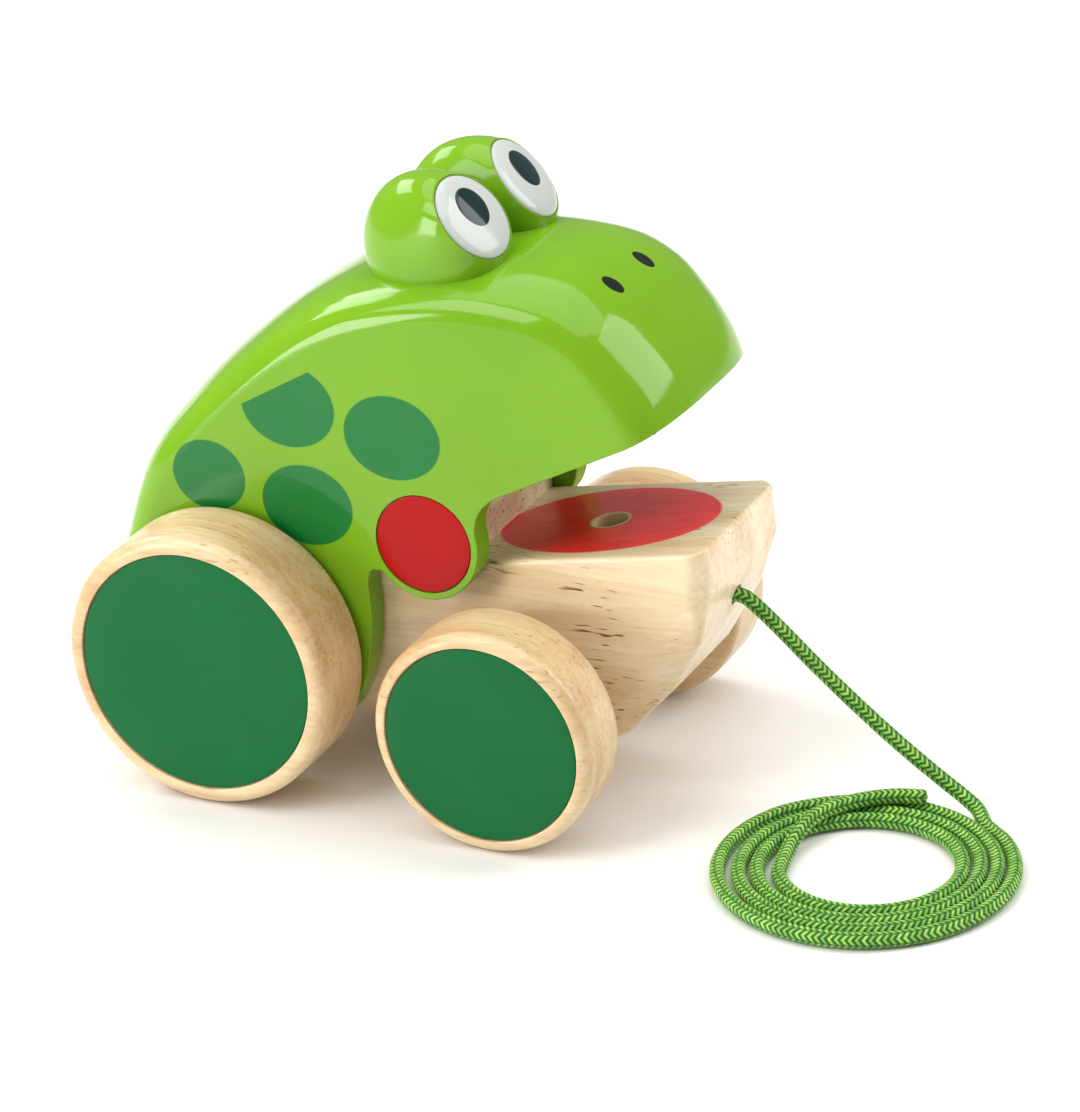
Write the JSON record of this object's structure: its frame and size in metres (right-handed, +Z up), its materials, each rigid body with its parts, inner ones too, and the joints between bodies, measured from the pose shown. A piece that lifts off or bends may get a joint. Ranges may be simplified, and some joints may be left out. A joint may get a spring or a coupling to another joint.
{
  "type": "pull-along frog toy",
  "caption": "Wooden pull-along frog with a hinged green head that opens its mouth, wheels with green faces, and a braided pull cord coiled in front.",
  "frame": {"origin": "on the floor under the middle of the toy's length and width, with its cord left out", "axes": "+X forward towards the jaw, +Y to the frog's left, +Z up; shown with the mouth wide open"},
  "size_m": [0.2778, 0.144, 0.1793],
  "materials": {
    "jaw_wood": "clear satin lacquer on maple-like wood",
    "wheel_wood": "clear satin lacquer on beech",
    "head_green": "high-gloss lime green enamel",
    "face_green": "smooth green enamel",
    "cheek_red": "smooth red enamel",
    "eye_white": "gloss white",
    "eye_black": "gloss black",
    "rod_steel": "plain drawn steel rod",
    "bush_nylon": "natural nylon",
    "cord_green": "braided polyester cord, two greens"
  },
  "bodies": {
    "body": {"jaw_body": "jaw_wood", "hinge_rod": "rod_steel", "rear_bush_left": "bush_nylon", "rear_bush_right": "bush_nylon", "front_bush_left": "bush_nylon", "front_bush_right": "bush_nylon", "cord_knot": "cord_green", "cord_lead": "cord_green", "cord_coil": "cord_green"},
    "head": {"head_shell": "head_green", "lift_block": "jaw_wood", "cheek_disc_left": "cheek_red", "cheek_disc_right": "cheek_red", "eye_pod_left": "head_green", "eye_pod_right": "head_green", "eye_white_left": "eye_white", "eye_white_right": "eye_white", "pupil_left": "eye_black", "pupil_right": "eye_black"},
    "rear_wheels": {"rear_axle": "rod_steel", "mouth_cam": "wheel_wood", "rear_wheel_left": "wheel_wood", "rear_wheel_right": "wheel_wood", "rear_wheel_face_left": "face_green", "rear_wheel_face_right": "face_green", "rear_spacer_left": "wheel_wood", "rear_spacer_right": "wheel_wood"},
    "front_wheels": {"front_axle": "rod_steel", "front_wheel_left": "wheel_wood", "front_wheel_right": "wheel_wood", "front_wheel_face_left": "face_green", "front_wheel_face_right": "face_green", "front_spacer_left": "wheel_wood", "front_spacer_right": "wheel_wood"}
  },
  "joints": [
    {"name": "mouth_hinge", "type": "hinge", "parent": "body", "child": "head", "pos_m": [0.0123, 0, 0.0784], "axis": [0, 1, 0], "range_deg": [0, 24]},
    {"name": "rear_axle_spin", "type": "hinge", "parent": "body", "child": "rear_wheels", "pos_m": [-0.04915, 0, 0.041], "axis": [0, 1, 0], "continuous": true},
    {"name": "front_axle_spin", "type": "hinge", "parent": "body", "child": "front_wheels", "pos_m": [0.03935, 0, 0.033], "axis": [0, 1, 0], "continuous": true}
  ]
}
